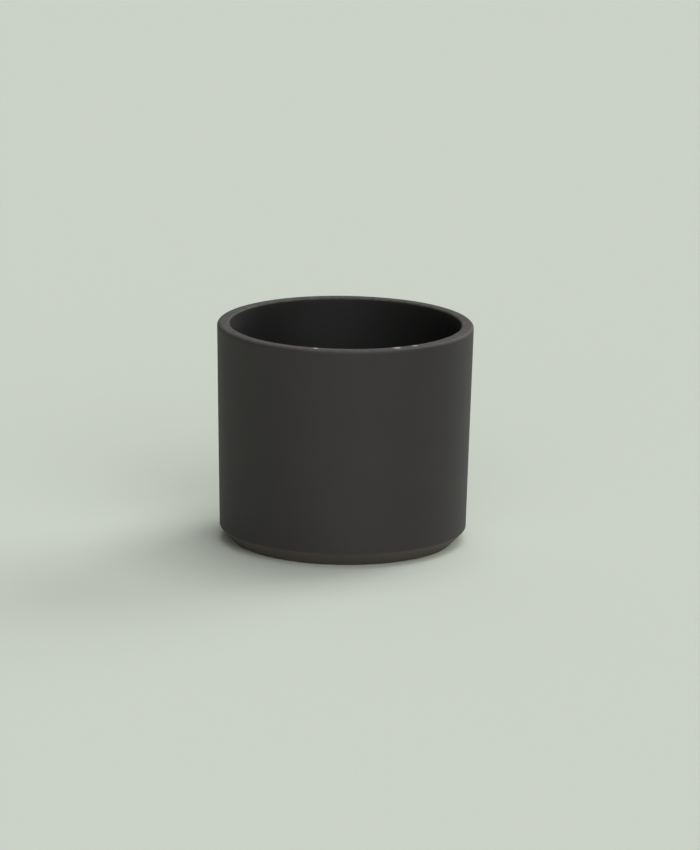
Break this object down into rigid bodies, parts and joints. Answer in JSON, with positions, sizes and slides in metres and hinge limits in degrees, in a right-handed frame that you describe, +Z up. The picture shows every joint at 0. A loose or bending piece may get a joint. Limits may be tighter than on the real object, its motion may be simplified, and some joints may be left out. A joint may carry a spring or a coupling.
{
  "type": "candle jar",
  "caption": "Squat round candle jar, empty and open at the top, with a slightly tapered wall, flat softened rim, bevelled heel and recessed foot, in matte black glaze.",
  "frame": {"origin": "middle of the underside, on the plane the jar stands on", "axes": "+Z up along the jar's axis, from the foot to the open mouth; -Y faces the camera of the picture"},
  "size_m": [0.08, 0.08, 0.069],
  "materials": {
    "black_glaze": "matte"
  },
  "bodies": {
    "root": {"jar_body": "black_glaze"}
  },
  "joints": []
}
